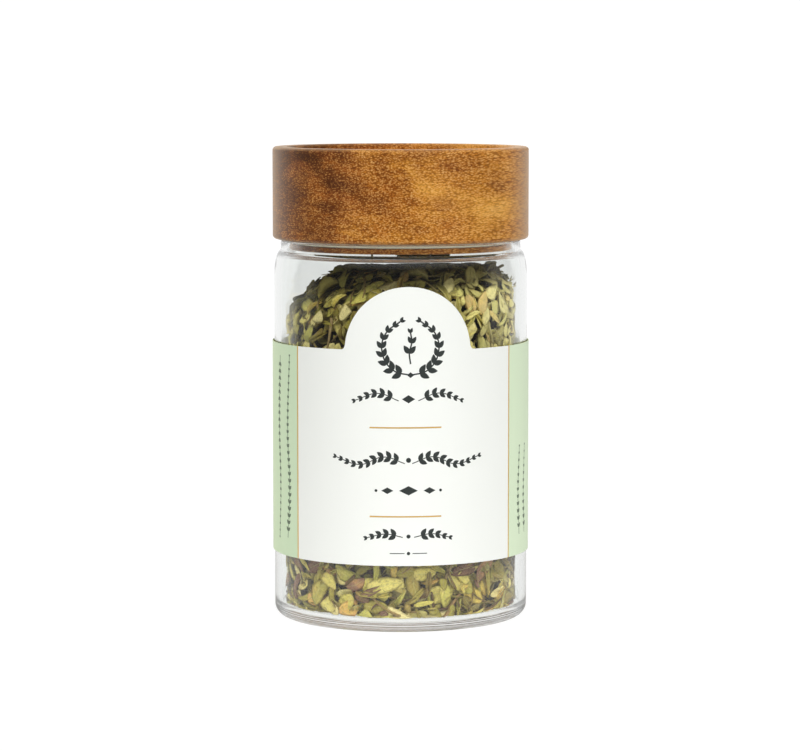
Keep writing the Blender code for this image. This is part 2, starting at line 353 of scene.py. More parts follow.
lid = dict(
    radius=32.3 * mm, bottom=95.6 * mm, top=118.7 * mm, edge=0.9 * mm, recess=28.6 * mm, recessDepth=3.0 * mm,
    plug=28.3 * mm, plugBottom=93.0 * mm, groove=1.1 * mm, grooveBottom=94.3 * mm, sides=192,
    grainTurn=math.radians(-110), poreSize=0.47 * mm, figureSize=19.0 * mm,
    cloudScale=118.0, streakScale=430.0, turningScale=2600.0,
    # the sun share and the two bands after it make the lid paler towards the right: partly its own tone, partly
    # painted light
    figureShare=0.95, cloudShare=0.35, streakShare=0.30, turningShare=0.16, sunShare=10.5,
    paleBand=(-7.0 * mm, 13.0 * mm), darkBand=(-25.0 * mm, 7.0 * mm), rimBand=(118.4 * mm, 0.45 * mm),
    # where painted shade dulls the lid's right edge
    farSide=(26.5 * mm, 5.0 * mm),
    tones=[
        (0.08, shade(60, 24, 0)), (0.26, shade(92, 40, 0)), (0.44, shade(152, 84, 14)),
        (0.60, shade(192, 124, 38)), (0.76, shade(216, 152, 60)), (0.95, shade(222, 168, 86)),
    ],
    warmCloud=shade(176, 92, 26), coolCloud=shade(116, 72, 44), darkFleck=shade(164, 96, 30),
    # the last two colours are painted: shade for the lid's right edge, and a highlight, with a little rubbed wear, for
    # its top rim
    paleFleck=shade(254, 206, 130), pore=shade(88, 46, 12), farEdge=shade(128, 86, 52), rim=shade(214, 168, 110),
)


def woodFinish():
    finish, sheet, place = newFinish("acaciaWood")

    def measured(*way):
        return sheet.add("ShaderNodeVectorMath", {"operation": "DOT_PRODUCT"}, {0: place, 1: way}, "Value")

    def board(sideways, upwards, lengthways):  # the grain runs along this one's Z
        return sheet.vector(across * sideways, lift * upwards, along * lengthways)

    grainX, grainY = math.cos(lid["grainTurn"]), math.sin(lid["grainTurn"])
    along, across, lift = measured(grainX, grainY, 0.0), measured(-grainY, grainX, 0.0), measured(0.0, 0.0, 1.0)
    sunny = measured(1.0, 0.0, 0.0)  # towards the right, where the lid is paler: partly the wood's own tone, partly painted light
    figure = sheet.speckle(board(1, 1.25, 0.35), 1 / lid["figureSize"], 3.0, 0.6)
    cloud = sheet.speckle(board(1, 1.6, 0.5), lid["cloudScale"], 2.0, 0.3)
    streak = sheet.speckle(board(0.5, 3.4, 0.05), lid["streakScale"], 3.0, 0.4)
    turning = sheet.speckle(sheet.spread(place, (0.05, 0.05, 1)), lid["turningScale"], 2.0)
    # painted light along with the wood's own tone: paler towards the right, with a paler band left of the middle and a
    # darker one further left
    tone = 0.5 + sunny * lid["sunShare"]
    for name, part in (("figure", figure), ("cloud", cloud), ("streak", streak), ("turning", turning)):
        tone = tone + (part - 0.5) * lid[name + "Share"]
    tone = tone + sunny.near(*lid["paleBand"]) * 0.07 - sunny.near(*lid["darkBand"]) * 0.06
    size = lid["poreSize"]
    pores = board(0.85 / size, 1.5 / size, 0.2 / size)
    wander = sheet.add("ShaderNodeTexNoise", None, {"Vector": pores, "Scale": 1.3, "Detail": 1.0}, "Color")
    shift = sheet.add("ShaderNodeVectorMath", {"operation": "MULTIPLY_ADD"}, {0: wander, 1: (0.9, 0.5, 0.9), 2: pores})
    cell = sheet.add("ShaderNodeTexVoronoi", None, {"Vector": shift, "Scale": 1.0}, "Distance")
    lot = sheet.add("ShaderNodeSeparateColor", None, {0: cell["Color"]})
    fleck = ((lot["Red"] * 0.22 + 0.40 - cell) * 3.6).clamped() * (0.55 + lot["Green"] * 0.45)
    strong = (1.12 - abs(tone - 0.44) * 1.5 + (cloud - 0.5) * 0.4).clamped()
    colour = sheet.layered(sheet.ramp(lid["tones"], tone.clamped()), [
        (cloud.past(0.52, 0.25) * 0.40, lid["warmCloud"]),
        (cloud.past(0.44, -0.25) * 0.35, lid["coolCloud"]),
        (fleck * strong * 0.9, sheet.mixed(tone.clamped(), lid["darkFleck"], lid["paleFleck"])),
        (cell.past(0.50, 0.25) * strong * 0.62, lid["pore"]),
        # painted shade: the lid's right edge is dulled
        (sunny.past(*lid["farSide"]) * 0.55, lid["farEdge"]),
        # painted highlight along the top rim, with a little rubbed wear
        (lift.near(*lid["rimBand"]) * 0.2, lid["rim"]),
    ])
    roughness = 0.46 + fleck * 0.16 + (turning - 0.5) * 0.12
    height = turning * 0.35 - fleck * strong * 0.5 + streak * 0.2
    shown(sheet, sheet.surfaced(colour, roughness, (height, 0.3, 0.1 * mm), {
        "Specular IOR Level": 0.2, "Coat Weight": 0.2, "Coat Roughness": 0.35,
        "Sheen Weight": 0.6, "Sheen Roughness": 0.4, "Sheen Tint": (1.0, 0.80, 0.58, 1.0),
    }))
    return finish


def woodenLid():
    radius, top, bottom, recess, edge = (lid[name] for name in ("radius", "top", "bottom", "recess", "edge"))
    plug, plugBottom, grooveBottom = lid["plug"], lid["plugBottom"], lid["grooveBottom"]
    half, stem, floor = edge / 2, plug - lid["groove"], top - lid["recessDepth"]
    profile = [
        (0.0, floor), (recess - edge - hold, floor), *bend((recess - edge, floor + edge), (edge, edge), -90, 0, 6),
        (recess, top - half - hold), *bend((recess + half, top - half), (half, half), 180, 90, 5),
        (recess + half + hold, top), *bend((radius - edge, top - edge), (edge, edge), 90, 0, 8),
        (radius, top - edge - hold), (radius, bottom + edge + hold),
        *bend((radius - edge, bottom + edge), (edge, edge), 0, -90, 8),
        (stem + hold, bottom), (stem, bottom - hold), (stem, grooveBottom), (plug - hold, grooveBottom),
        *bend((plug - hold, grooveBottom - hold), (hold, hold), 90, 0, 3),
        *bend((plug - half, plugBottom + half), (half, half), 0, -90, 5),
        (plug - half - hold, plugBottom), (0.0, plugBottom),
    ]
    stands(turned("lidWood", profile, woodFinish(), lid["sides"]), "lid")


woodenLid()
print("lid turned")


# silicone seal in the plug's groove

seal = dict(
    clearance=0.3 * mm, slack=0.05 * mm, bulge=0.42, sides=128, bendOfLight=1.41,
    colour=shade(250, 242, 212), cloudy=shade(232, 228, 204), cloudScale=260.0, dustScale=2400.0,
)


def sealFinish():
    finish, sheet, place = newFinish("clearSilicone")
    cloud = sheet.speckle(place, seal["cloudScale"], 3.0)
    dust = sheet.speckle(place, seal["dustScale"], 2.0)
    colour = sheet.mixed(cloud, seal["colour"], seal["cloudy"])
    shown(sheet, sheet.surfaced(colour, 0.32 + dust * 0.14, (dust, 0.2, 0.08 * mm), {
        "IOR": seal["bendOfLight"], "Transmission Weight": 0.1}))
    return finish


def lidSeal():
    inner = lid["plug"] - lid["groove"] + seal["clearance"]
    body = lid["plug"] - seal["clearance"] / 3
    crest = jar["bore"] - seal["clearance"]
    low, high = lid["grooveBottom"] + seal["slack"], lid["bottom"] - seal["slack"]
    profile = [(inner, low), (inner, high)]
    profile += bend((body, high - (high - low) * 0.5), (crest - body, (high - low) * seal["bulge"]), 90, -90, 8)
    stands(turned("lidSeal", profile, sealFinish(), seal["sides"], closed=True), "lid_gasket")


lidSeal()
print("seal made")


# paper label, with its printed and foiled ornaments as thin plates on it

paper = dict(
    inner=32.2 * mm, outer=32.44 * mm, bottom=16.9 * mm, top=69.9 * mm, seam=2.0 * mm, mapUnit=0.1,
    tabRadius=16.1 * mm, tabSink=0.6 * mm, tabFillet=1.0 * mm, tabTurn=math.radians(3.4),
    whiteFrom=math.radians(-55.2), whiteTo=math.radians(52.35),  # from the middle of the tab
    white=shade(246, 248, 243), green=shade(221, 238, 206), shadyGreen=shade(210, 230, 195),
    thread=shade(226, 224, 214), cloudy=shade(232, 228, 218), fibreScale=190.0, cloudScale=90.0,
)
printing = dict(
    ink=shade(48, 53, 51), softInk=shade(92, 108, 86), inkGrain=2600.0, worn=1.9, inkProud=0.018 * mm,
    gold=shade(226, 180, 84), paleGold=shade(240, 202, 120), foilGrain=900.0, foilProud=0.026 * mm,
    bendStep=1.2 * mm, stemStep=0.6 * mm,
)
labelFront = math.radians(-90) + paper["tabTurn"]


def onLabel(across, inward, height):  # flat label coordinates to the jar's wall
    return around(paper["outer"] - inward, labelFront + across / paper["outer"], height)


def paperFinish():
    finish, sheet, place = newFinish("labelPaper")
    flat = sheet.add("ShaderNodeUVMap", {"uv_map": "labelMap"})
    across = sheet.parts(flat)["X"]
    left, right = (paper["outer"] * paper[side] / paper["mapUnit"] for side in ("whiteFrom", "whiteTo"))
    panel = across.maths("GREATER_THAN", across, left) * across.maths("LESS_THAN", across, right)
    fibre = sheet.speckle(sheet.spread(flat, (1, 2.4, 1)), paper["fibreScale"], 4.0, 0.5)
    cloud = sheet.speckle(place, paper["cloudScale"], 2.0)
    green = sheet.mixed((0.5 - across * 1.6).clamped(), paper["green"], paper["shadyGreen"])
    colour = sheet.layered(sheet.mixed(panel, green, paper["white"]), [
        ((fibre - 0.35).clamped() * 0.10, paper["thread"]),
        (cloud * 0.05, paper["cloudy"]),
    ])
    shown(sheet, sheet.surfaced(colour, 0.50 + fibre * 0.16, (fibre, 0.14, 0.06 * mm), {"Specular IOR Level": 0.25}))
    return finish


def inkFinish(name, colour):
    finish, sheet, place = newFinish(name)
    grainy = sheet.speckle(place, printing["inkGrain"], 2.0)
    worn = tuple(min(1.0, part * printing["worn"]) for part in colour[:3]) + (1.0,)
    tone = sheet.mixed(grainy * 0.35, colour, worn)
    shown(sheet, sheet.surfaced(tone, 0.42 + grainy * 0.2, (grainy, 0.1, 0.03 * mm)))
    return finish


def foilFinish():
    finish, sheet, place = newFinish("goldFoil")
    press = sheet.speckle(place, printing["foilGrain"], 3.0)
    tone = sheet.mixed(press, printing["gold"], printing["paleGold"])
    shown(sheet, sheet.surfaced(tone, 0.26 + press * 0.16, (press, 0.15, 0.04 * mm), {"Metallic": 0.35}))
    return finish


def labelTopEdge():  # from one side of the seam to the other, as (across, height)
    halfTurn = math.pi * paper["outer"] - paper["seam"] / 2
    radius, fillet, middle = paper["tabRadius"], paper["tabFillet"], paper["top"] - paper["tabSink"]
    tabSide = radius + fillet
    half = [(halfTurn + (tabSide - halfTurn) * step / 70, paper["top"]) for step in range(71)]
    for angle in range(12, 76, 13):
        turn = math.radians(angle)
        half.append((tabSide - fillet * math.sin(turn), paper["top"] + fillet * (1 - math.cos(turn))))
    for step in range(4, 60):
        turn = math.radians(1.5 * step)
        half.append((radius * math.cos(turn), middle + radius * math.sin(turn)))
    half.append((0.0, middle + radius))
    return [(-across, height) for across, height in half[:-1]] + half[::-1]


def labelPaper():
    thickness = paper["outer"] - paper["inner"]
    shape = bmesh.new()
    mapping = shape.loops.layers.uv.new("labelMap")
    rings, spots = [], {}
    for across, top in labelTopEdge():
        ring = []
        for inward, height in ((0, paper["bottom"]), (0, top), (thickness, top), (thickness, paper["bottom"])):
            corner = shape.verts.new(onLabel(across, inward, height))
            spots[corner] = (across / paper["mapUnit"], height / paper["mapUnit"])
            ring.append(corner)
        rings.append(ring)
    skinned(shape, rings, (rings[0], rings[-1]))
    bmesh.ops.recalc_face_normals(shape, faces=shape.faces)
    for face in shape.faces:
        for loop in face.loops:
            loop[mapping].uv = spots[loop.vert]
    mesh = asMesh(shape, "labelPaper", smooth=True)
    stands(putDown("labelPaper", mesh, paperFinish()), "label")


def plates(name, borders, proud, finish):  # flat shapes, in millimetres, raised a hair and wrapped round the label
    shape = bmesh.new()
    for border in borders:
        rings = []
        for lift in (0.0, proud):
            rings.append([shape.verts.new((across * mm, -lift, height * mm)) for across, height in border])
        skinned(shape, rings, rings)
    reach = max(abs(vert.co.x) for vert in shape.verts)
    cut = -reach
    while cut < reach:
        everything = shape.verts[:] + shape.edges[:] + shape.faces[:]
        bmesh.ops.bisect_plane(shape, geom=everything, plane_co=(cut, 0, 0), plane_no=(1, 0, 0))
        cut += printing["bendStep"]
    bmesh.ops.recalc_face_normals(shape, faces=shape.faces)
    bmesh.ops.triangulate(shape, faces=shape.faces)
    for vert in shape.verts:
        vert.co = onLabel(*vert.co)
    stands(putDown(name, asMesh(shape, name, smooth=True), finish), "label")


def bar(left, right, low, high):
    return [(left, low), (right, low), (right, high), (left, high)]


def lozenge(across, height, wide, tall):  # half its width and half its height
    return [(across - wide, height), (across, height - tall), (across + wide, height), (across, height + tall)]


def dot(across, height, radius):
    turns = [math.tau * corner / 14 for corner in range(14)]
    return [(across + radius * math.cos(turn), height + radius * math.sin(turn)) for turn in turns]


def printedLeaf():  # one flat leaf, 1 long, with its stalk at the origin and its face to the viewer
    border = [(step / 9, -0.27 * math.sin(math.pi * (step / 9) ** 0.8) ** 0.85) for step in range(10)]
    border += [(along, -across) for along, across in border[-2:0:-1]]
    shape = bmesh.new()
    rings = [[shape.verts.new((along, -lift, across)) for along, across in border] for lift in (0, 1)]
    skinned(shape, rings, rings)
    bmesh.ops.recalc_face_normals(shape, faces=shape.faces)
    return bpy.data.objects.new("printedLeaf", asMesh(shape, "printedLeaf"))


def sprigTree():  # pairs of leaves along drawn stems, wrapped round the label
    sizes = ("Spacing", "Leaf Length", "Lean", "Line Width", "Bare", "Proud", "Label Radius", "Front")
    tree, sheet, given = newTree("printedSprigs", {
        "Stems": "Object", "Leaf": "Object", **dict.fromkeys(sizes, "Float"), "Ink": "Material"}, "Print")
    stems = sheet.add("GeometryNodeObjectInfo", None, {"Object": given["Stems"]}, "Geometry")
    leaf = sheet.add("GeometryNodeObjectInfo", None, {"Object": given["Leaf"]}, "Geometry")
    nodes = sheet.add("GeometryNodeResampleCurve", {"mode": "LENGTH"}, {"Curve": stems, "Length": given["Spacing"]})
    along = sheet.add("GeometryNodeSplineParameter", out="Factor")
    tangent = sheet.add("GeometryNodeInputTangent")
    size = given["Leaf Length"] * (1.0 - 0.5 * along ** 1.5)
    growth = sheet.vector(size, given["Proud"], size)
    parts = []
    for side in (-1, 1):
        lean = sheet.vector(0.0, given["Lean"] * side * (1.0 - 0.45 * along))
        facing = sheet.add(
            "FunctionNodeAlignRotationToVector", {"axis": "X", "pivot_axis": "Y"}, {"Vector": tangent})
        facing = sheet.add(
            "FunctionNodeRotateRotation", {"rotation_space": "LOCAL"}, {"Rotation": facing, "Rotate By": lean})
        parts.append(sheet.add("GeometryNodeInstanceOnPoints", None, {
            "Points": nodes, "Instance": leaf, "Rotation": facing, "Scale": growth,
            "Selection": along.maths("GREATER_THAN", along, given["Bare"]),
        }))
    smooth = sheet.add("GeometryNodeResampleCurve", {"mode": "LENGTH"}, {
        "Curve": stems, "Length": printing["stemStep"]})
    line = sheet.add("GeometryNodeCurvePrimitiveQuadrilateral", None, {
        "Width": given["Proud"] * 2, "Height": given["Line Width"]})
    parts.append(sheet.add("GeometryNodeCurveToMesh", None, {
        "Curve": smooth, "Profile Curve": line, "Fill Caps": True}))
    joined = sheet.add("GeometryNodeJoinGeometry", None, {"Geometry": parts})
    real = sheet.add("GeometryNodeRealizeInstances", None, {"Geometry": joined})
    spot = sheet.parts(sheet.add("GeometryNodeInputPosition"))
    turn = given["Front"] + spot["X"] / given["Label Radius"]
    radius = given["Label Radius"] - spot["Y"]
    wrapped = sheet.vector(radius * turn.maths("COSINE", turn), radius * turn.maths("SINE", turn), spot["Z"])
    placed = sheet.add("GeometryNodeSetPosition", None, {"Geometry": real, "Position": wrapped})
    inked = sheet.add("GeometryNodeSetMaterial", None, {"Geometry": placed, "Material": given["Ink"]})
    sheet.add("NodeGroupOutput", None, {"Print": inked})
    return tree


def asPlainMesh(name, host, tree, values):  # runs the tree with these inputs and keeps what it makes
    modifier = host.modifiers.new("made", "NODES")
    modifier.node_group = tree
    for item in tree.interface.items_tree:
        if item.item_type == "SOCKET" and item.in_out == "INPUT" and item.name in values:
            modifier[item.identifier] = values[item.name]
    bpy.context.view_layer.update()
    ready = host.evaluated_get(bpy.context.evaluated_depsgraph_get())
    mesh = bpy.data.meshes.new_from_object(ready)
    mesh.name = name
    host.modifiers.clear()
    old = host.data
    host.data = mesh
    bpy.data.meshes.remove(old)
    return host


def drawnStems(name, lines):  # lines of (across, height), in millimetres
    curve = bpy.data.curves.new(name, "CURVE")
    curve.dimensions = "3D"
    for line in lines:
        spline = curve.splines.new("BEZIER")
        spline.bezier_points.add(len(line) - 1)
        for point, (across, height) in zip(spline.bezier_points, line):
            point.co = (across * mm, 0, height * mm)
            point.handle_left_type = point.handle_right_type = "AUTO"
    made = bpy.data.objects.new(name, curve)
    bpy.context.scene.collection.objects.link(made)
    return made


sprigs = {
    "labelWreath": dict(
        ink="charcoal", spacing=2.0, leaf=2.7, lean=44, line=0.36, bare=0.06,
        stems=[
            [(0.3, 63.9), (-3.6, 65.0), (-6.4, 69.2), (-5.6, 74.0), (-2.0, 77.0)],
            [(0.7, 63.9), (4.6, 65.0), (7.4, 69.2), (6.6, 74.0), (3.0, 77.0)],
            [(0.5, 66.6), (0.2, 69.4), (0.8, 72.0), (0.5, 74.2)],
        ]),
    "labelGarland": dict(
        ink="charcoal", spacing=1.75, leaf=2.2, lean=46, line=0.22, bare=0.04,
        stems=[
            [(-0.9, 42.2), (-6.0, 43.8), (-12.0, 41.8), (-18.4, 43.4)],
            [(0.9, 42.2), (6.0, 43.8), (12.0, 41.8), (18.4, 43.4)],
            [(-2.4, 57.6), (-7.4, 59.4), (-13.2, 57.6)],
            [(2.4, 57.6), (7.4, 59.4), (13.2, 57.6)],
            [(-1.4, 24.0), (-5.6, 24.8), (-10.2, 23.8)],
            [(1.4, 24.0), (5.6, 24.8), (10.2, 23.8)],
        ]),
    "labelSidePrint": dict(
        ink="moss", spacing=1.7, leaf=1.35, lean=40, line=0.2, bare=0.0,
        stems=[
            [(-36.0, 21.5), (-35.0, 34.0), (-36.0, 48.0), (-35.0, 67.0)],
            [(-40.4, 67.0), (-41.2, 50.0), (-40.3, 34.0), (-41.0, 21.5)],
            [(35.6, 22.0), (34.8, 32.0), (35.6, 44.0)],
            [(39.6, 22.0), (38.8, 32.0), (39.6, 44.0)],
        ]),
}


def labelPrints():
    tree, leaf = sprigTree(), printedLeaf()
    inks = {
        "charcoal": inkFinish("charcoalInk", printing["ink"]), "moss": inkFinish("mossInk", printing["softInk"])}
    for name, wish in sprigs.items():
        stems = drawnStems(name + "Stems", wish["stems"])
        host = putDown(name, bpy.data.meshes.new(name + "Host"))
        piece = asPlainMesh(name, host, tree, {
            "Stems": stems, "Leaf": leaf, "Spacing": wish["spacing"] * mm, "Leaf Length": wish["leaf"] * mm,
            "Lean": math.radians(wish["lean"]), "Line Width": wish["line"] * mm, "Bare": wish["bare"],
            "Proud": printing["inkProud"], "Label Radius": paper["outer"], "Front": labelFront,
            "Ink": inks[wish["ink"]],
        })
        stands(piece, "label")
        bpy.data.objects.remove(stems)
    bpy.data.objects.remove(leaf)
    plates("labelInkDots", [
        lozenge(0.5, 63.9, 0.9, 0.7), lozenge(0.0, 58.0, 1.6, 1.0), dot(0.0, 43.0, 0.62),
        lozenge(0.0, 35.5, 2.3, 1.15), lozenge(-5.2, 35.5, 1.5, 0.8), lozenge(5.2, 35.5, 1.5, 0.8),
        dot(-8.0, 35.5, 0.36), dot(8.0, 35.5, 0.36), dot(0.0, 24.2, 0.5),
        bar(-4.6, -1.0, 19.9, 20.1), bar(1.0, 4.6, 19.9, 20.1), dot(0.0, 20.0, 0.42),
    ], printing["inkProud"], inks["charcoal"])
    left, right = (paper["outer"] * paper[side] / mm for side in ("whiteFrom", "whiteTo"))
    low, high = paper["bottom"] / mm, paper["top"] / mm
    plates("labelFoil", [
        bar(-9.6, 8.2, 50.8, 51.15), bar(-9.6, 8.2, 28.9, 29.25),
        bar(left - 0.2, left + 0.2, low, high), bar(right - 0.2, right + 0.2, low, high),
    ], printing["foilProud"], foilFinish())


labelPaper()
labelPrints()
print("label wrapped and printed")


# dried thyme: a dark core, its colour dark crumbs and painted shade deep in the heap, and loose leaves strewn over it
# in layers

heap = dict(
    radius=29.35 * mm, bottom=2.52 * mm, corner=1.4 * mm, peak=90.2 * mm, peakLift=0.4 * mm, ceiling=92.5 * mm,
    wallMean=77.4 * mm, wallSink=0.4 * mm, tiltRight=8.5 * mm, tiltBack=1.8 * mm, saddle=2.9 * mm, domePower=0.78,
    footTop=21.0 * mm, crownStart=62.0 * mm, columns=96, skinInset=0.4 * mm, coreInset=4.2 * mm,
    coreRough=0.7 * mm, lumpScale=420.0, layers=3, bedding=0.4 * mm, squeeze=0.35 * mm, plugBedding=0.5 * mm,
    densest=4.0e6,
)
leafKinds = dict(
    length=7.6 * mm, width=4.3 * mm, thickness=0.2 * mm, whole=11, broken=5, folded=5, stems=3, crumbs=1, seed=7)


def wallHeight(turn):
    tilt = heap["tiltRight"] * math.cos(turn) + heap["tiltBack"] * math.sin(turn)
    return heap["wallMean"] + tilt - heap["saddle"] * math.cos(2 * turn)


def outline(turn, zone, inset):  # one direction's outline of a zone of the heap, bottom first
    edge, floor, corner = heap["radius"] - inset, heap["bottom"] + inset, heap["corner"]
    footTop, crownStart, power = heap["footTop"], heap["crownStart"], heap["domePower"]
    rows = []
    if zone in ("foot", "all"):
        rows += [((edge - corner) * step / 8, floor) for step in range(9)]
        rows += bend((edge - corner, floor + corner), (corner, corner), -75, 0, 5)
        rows += [(edge, floor + corner + (footTop - floor - corner) * step / 6) for step in range(1, 7)]
    if zone in ("wall", "all"):
        rows += [(edge, footTop + (crownStart - footTop) * step / 14) for step in range(15)]
    if zone in ("crown", "all"):
        side = wallHeight(turn) - inset - heap["wallSink"]
        peak = heap["peak"] - inset + heap["peakLift"]
        rows += [(edge, crownStart + (side - crownStart) * step / 6) for step in range(6)]
        for step in range(21):
            angle = math.radians(90) * step / 20
            rows.append((edge * math.cos(angle) ** power, side + (peak - side) * math.sin(angle) ** power))
    return rows


def heapSkin(name, zone, inset, roughen=0.0):
    shape = bmesh.new()
    columns = []
    for column in range(heap["columns"]):
        turn = math.tau * column / heap["columns"]
        rows = outline(turn, zone, inset)
        columns.append([shape.verts.new(around(radius, turn, height)) for radius, height in rows])
    for column, beside in zip(columns, columns[1:] + columns[:1]):
        for row in range(len(column) - 1):
            shape.faces.new((column[row], beside[row], beside[row + 1], column[row + 1]))
    bmesh.ops.remove_doubles(shape, verts=shape.verts, dist=1e-6)
    if roughen:
        shape.normal_update()
        for vert in shape.verts:
            lump = noise.fractal(vert.co * heap["lumpScale"], 1.0, 2.0, 3) * 1.4
            vert.co += vert.normal * max(-1.0, min(1.0, lump)) * roughen
    return asMesh(shape, name)


def leafSolid(name, stations, rows):  # rows of (middle, sideways, up, half width, cup)
    shape = bmesh.new()
    blade = shape.verts.layers.float_vector.new("blade")

    def corner(point, across, along):
        made = shape.verts.new(point)
        made[blade] = (across, along, 0.0)
        return made

    upper, lower = [], []
    for along, (middle, sideways, up, half, cup) in zip(stations, rows):
        if half < tiny:
            tip = corner(middle, 0.0, along)
            upper.append([tip] * 5)
            lower.append([tip] * 5)
            continue
        over, under = [], []
        for across in (-1.0, -0.5, 0.0, 0.5, 1.0):
            face = middle + sideways * (half * across) + up * (cup * abs(across) ** 1.5)  # cups towards its edges
            if abs(across) == 1.0:
                rim = corner(face, across, along)
                over.append(rim)
                under.append(rim)
            else:
                slope = 1.5 * cup / half * math.copysign(math.sqrt(abs(across)), across)
                lift = (up - sideways * slope).normalized() * leafKinds["thickness"] * (1.0 if across else 0.55)
                over.append(corner(face + lift / 2, across, along))
                under.append(corner(face - lift / 2, across, along))
        upper.append(over)
        lower.append(under)
    for layer, flip in ((upper, False), (lower, True)):
        for row, following in zip(layer, layer[1:]):
            for place in range(4):
                corners = [row[place], following[place], following[place + 1], row[place + 1]]
                if flip:  # the same diagonal as the face above it, or the two would cross
                    corners = corners[:1] + corners[:0:-1]
                shape.faces.new([one for index, one in enumerate(corners) if one not in corners[:index]])
    return bpy.data.objects.new(name, asMesh(shape, name))


def leafBlade(name, chance, broken=False, folded=False):
    length = leafKinds["length"] * chance.uniform(0.8, 1.15)
    half = leafKinds["width"] / 2 * chance.uniform(0.8, 1.12)
    end = chance.uniform(0.5, 0.7) if broken else 1.0
    cup = chance.uniform(-0.32, 0.42) if not folded else chance.uniform(0.9, 1.6)
    arch = chance.uniform(-0.16, 0.2)
    twist = chance.uniform(-0.7, 0.7)
    sway = chance.uniform(-0.12, 0.12)
    fullness = chance.uniform(0.72, 0.95)
    stations = [0.0, 0.06, 0.2, 0.4, 0.62, 0.82, 0.95, 1.0]
    rows = []
    for place in stations:
        along = place * end
        wide = half * math.sin(math.pi * min(along, 0.999) ** fullness) ** 0.62
        wide *= chance.uniform(0.96, 1.03)
        roll = twist * (along - 0.5) + chance.uniform(-0.05, 0.05)
        sideways = Vector((0, math.cos(roll), math.sin(roll)))
        up = Vector((0, -math.sin(roll), math.cos(roll)))
        narrow = 0.45 if folded else 1.0
        tip = place in (0.0, 1.0)
        lift = arch * length * (4 * (along - 0.5) ** 2 - 0.5)
        middle = Vector((length * (along - 0.5), sway * length * math.sin(math.pi * along), lift))
        rows.append((middle, sideways, up, 0.0 if tip else wide * narrow, wide * cup))
    return leafSolid(name, stations, rows)


def leafStem(name, chance):
    length = chance.uniform(8.0, 13.0) * mm
    thick = chance.uniform(0.28, 0.42) * mm
    shape = bmesh.new()
    blade = shape.verts.layers.float_vector.new("blade")
    rings = []
    for step in range(6):
        along = step / 5
        middle = Vector((length * (along - 0.5), 1.1 * mm * math.sin(2.6 * along), 0.5 * mm * math.sin(4.0 * along)))
        ring = []
        for side in range(5):
            turn = math.tau * side / 5
            out = Vector((0, math.cos(turn), math.sin(turn)))
            made = shape.verts.new(middle + out * thick * (1.15 - 0.5 * along))
            made[blade] = (math.cos(turn), along, 1.0)
            ring.append(made)
        rings.append(ring)
    skinned(shape, rings, (rings[0], rings[-1]))
    bmesh.ops.recalc_face_normals(shape, faces=shape.faces)
    return bpy.data.objects.new(name, asMesh(shape, name))


def leafCrumb(name, chance):
    shape = bmesh.new()
    blade = shape.verts.layers.float_vector.new("blade")
    bmesh.ops.create_icosphere(shape, subdivisions=1, radius=1.0)
    size = Vector((chance.uniform(1.0, 1.7), chance.uniform(0.7, 1.1), chance.uniform(0.3, 0.45))) * mm
    for vert in shape.verts:
        vert.co = Vector([part * scale for part, scale in zip(vert.co, size)]) * chance.uniform(0.88, 1.08)
        vert[blade] = (0.3, 0.5, 2.0)
    return bpy.data.objects.new(name, asMesh(shape, name))


def leafCollection():
    chance = random.Random(leafKinds["seed"])
    collection = bpy.data.collections.new("thymeLeaves")
    for name, kind, make, wishes in (
        ("leafWhole", "whole", leafBlade, {}), ("leafBroken", "broken", leafBlade, {"broken": True}),
        ("leafFolded", "folded", leafBlade, {"folded": True}),
        ("leafStem", "stems", leafStem, {}), ("leafCrumb", "crumbs", leafCrumb, {}),
    ):
        for count in range(leafKinds[kind]):
            collection.objects.link(make("%s%02d" % (name, count), chance, **wishes))
    return collection


